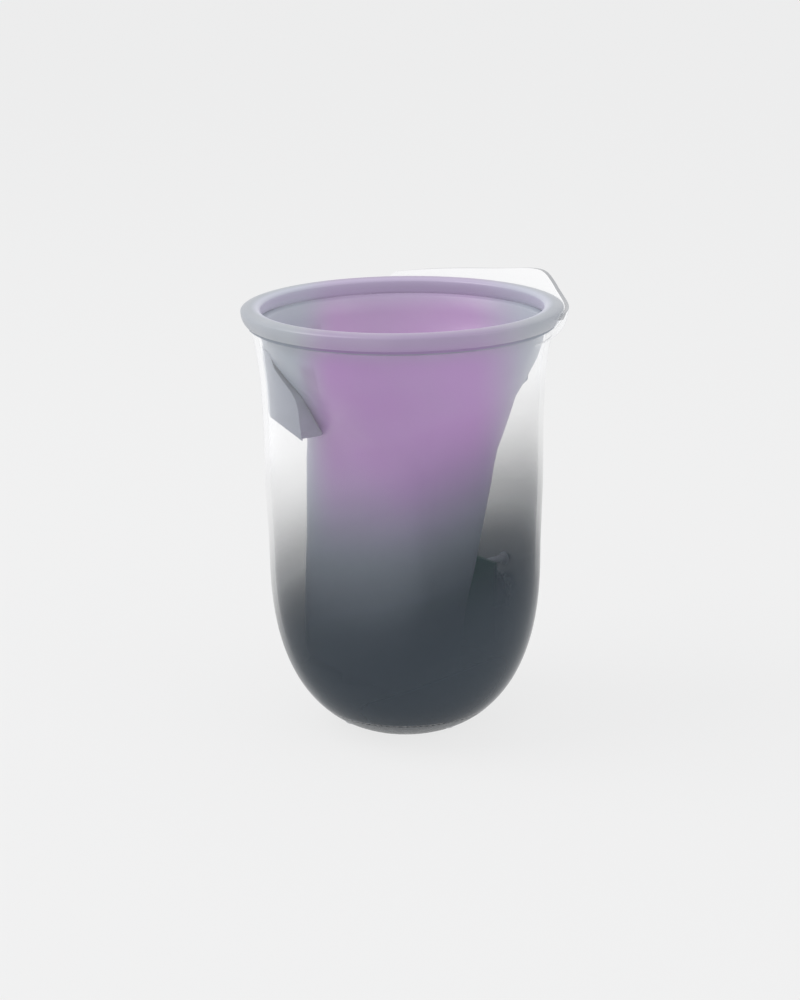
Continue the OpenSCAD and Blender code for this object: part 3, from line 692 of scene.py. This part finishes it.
def inlet_contacts():
    """Two rows of contacts on the inlet's tongue."""
    low, high = corners("usb_c_socket")
    middle = (low.z + high.z) / 2
    bm = bmesh.new()
    for k in range(12):
        x = (k - 5.5) * 0.5
        for side in (-1, 1):
            near, far = sorted((middle + side * 0.33, middle + side * 0.39))
            block(bm, (x - 0.13, high.y - 6.4, near), (x + 0.13, high.y - 1.4, far))
    piece_from(bm, "inlet_contacts", slot="copper")


def lamp_cover():
    """The lamp's housing, its inner side grown on to the curved liner and its top up to the neck."""
    slices, pitch, rise, farthest, sunk = 10, 4 * MM, 3.5 * MM, 12 * MM, 0.8 * MM
    bm, wall = merged("uv_housing"), merged("inner_liner", 0.05)
    for mesh in (bm, wall):
        bmesh.ops.transform(mesh, matrix=LAMP_TURN.inverted(), verts=mesh.verts)
    liner = BVHTree.FromBMesh(wall)
    near_x = min(v.co.x for v in bm.verts)
    rows = []
    for v in bm.verts:
        if v.co.x < near_x + 0.1 * MM:
            level = [w.co.xy.length for w in bm.verts if abs(w.co.z - v.co.z) < 2.5 * MM]
            if v.co.y < math.sqrt(max(level) ** 2 - near_x ** 2) - 0.45 * MM:
                rows.append((v.co.z, v.co.y))
    rows.sort()

    def wall_at(z):
        for (z0, y0), (z1, y1) in zip(rows, rows[1:]):
            if z0 <= z <= z1:
                return y0 + (y1 - y0) * (z - z0) / max(z1 - z0, 1e-9)
        return rows[0][1] if z < rows[0][0] else rows[-1][1]

    for k in range(1, slices + 1):
        slice_at(bm, (near_x + k * pitch, 0, 0), (1, 0, 0))
    top = max(v.co.z for v in bm.verts)
    for v in bm.verts:
        inner = abs(v.co.y - wall_at(v.co.z)) < 0.15 * MM
        if v.co.z > top - 0.1 * MM:
            v.co.z += rise
        if inner:
            hit = liner.ray_cast((v.co.x, 70 * MM, v.co.z), (0, -1, 0))[0]
            if hit and v.co.y - farthest < hit.y < v.co.y:
                reach = 1.2 * MM + 0.7 * (v.co.x - near_x)
                v.co.y = max(hit.y - sunk, v.co.y - reach)
    wall.free()
    bmesh.ops.transform(bm, matrix=LAMP_TURN, verts=bm.verts)
    piece_from(bm, "lamp_housing", ["uv_housing"], smooth=40)


def lamp_chips():
    """Three lamp chips, each a square body with a low dome towards the window."""
    back = LAMP_TURN.inverted()
    points = [back @ v.co / MM for v in cad["uv_leds"].data.vertices]
    near, far = min(p.y for p in points), max(p.y for p in points)
    middle_z = sum(corners("uv_leds"), Vector()).z / 2
    bm = bmesh.new()
    for k in (-1, 0, 1):
        x = LAMP_SHIFT + k * LAMP_PANE / 3.6
        block(bm, (x - 1.75, near + 0.4, middle_z - 1.75), (x + 1.75, far, middle_z + 1.75))
        bmesh.ops.create_uvsphere(bm, u_segments=24, v_segments=12, radius=1, matrix=(
            Matrix.Translation(Vector((x, near + 0.42, middle_z)) * MM)
            @ Matrix.Diagonal((1.4 * MM, 0.4 * MM, 1.4 * MM, 1))))
    bmesh.ops.transform(bm, matrix=LAMP_TURN, verts=bm.verts)
    piece_from(bm, "lamp_chip_domes", ["uv_leds"])


def small_parts():
    """Chip resistors and capacitors in rows on the main board and beside the inlet."""
    top = corners("main_board")[1].z
    bm = bmesh.new()
    for row, y in enumerate((9.5, 12.0)):
        for k in range(5 + row):
            x = -8 + k * 3.0 + row
            block(bm, (x - 0.8, y - 0.4, top), (x + 0.8, y + 0.4, top + 0.5))
    rear = corners("io_board")[1]
    for k in range(4):
        for x in (-9.5, 9.5):
            z = rear.z - 4 - 4 * k
            block(bm, (x - 0.8, rear.y, z - 0.4), (x + 0.8, rear.y + 0.5, z + 0.4))
    rounded(piece_from(bm, "small_board_parts", slot="pale_plastic"), 0.0001)


for node, solid in cad.items():
    solid.data.materials.clear()
    solid.data.materials.append(FINISHES[slot_of[node]])

smoothed("outer_shell", "shell", smooth=40)
smoothed("inner_liner", "liner", smooth=50, flat=0.05)
smoothed("base_plate", "base_cup", smooth=40)
for node, name, edge in (("sensor_housing", "sensor_cover", 0.0006),
                         ("coil_cover", "coil_cap", 0.0004), ("chassis", "inner_chassis", 0.0003),
                         ("main_board", "main_circuit", 0.0001), ("io_board", "rear_circuit", 0.0001),
                         ("usb_c_socket", "inlet_shell", 0.00008), ("tact_switch", "switch_body", 0.0002),
                         ("ballast_weight", "ballast", 0.0005), ("board_parts", "board_components", 0.00015),
                         ("light_pipe", "indicator_pipe", 0.00015), ("coil_lead", "flat_lead", 0.0002)):
    smoothed(node, name, edge)
rim()
foot()
mat()
winding()
screws()
button()
inlet_contacts()
lamp_cover()
lamp_chips()
small_parts()

bpy.context.scene.view_settings.view_transform = "Standard"
set_camera()
set_world()
add_softbox("key", (-0.5, -0.9, 1.3), (0, 0, 0.09), 1.2, KEY_POWER)
add_softbox("fill", (1.2, 0.6, 0.7), (0, 0, 0.09), 1.0, FILL_POWER)
add_floor()
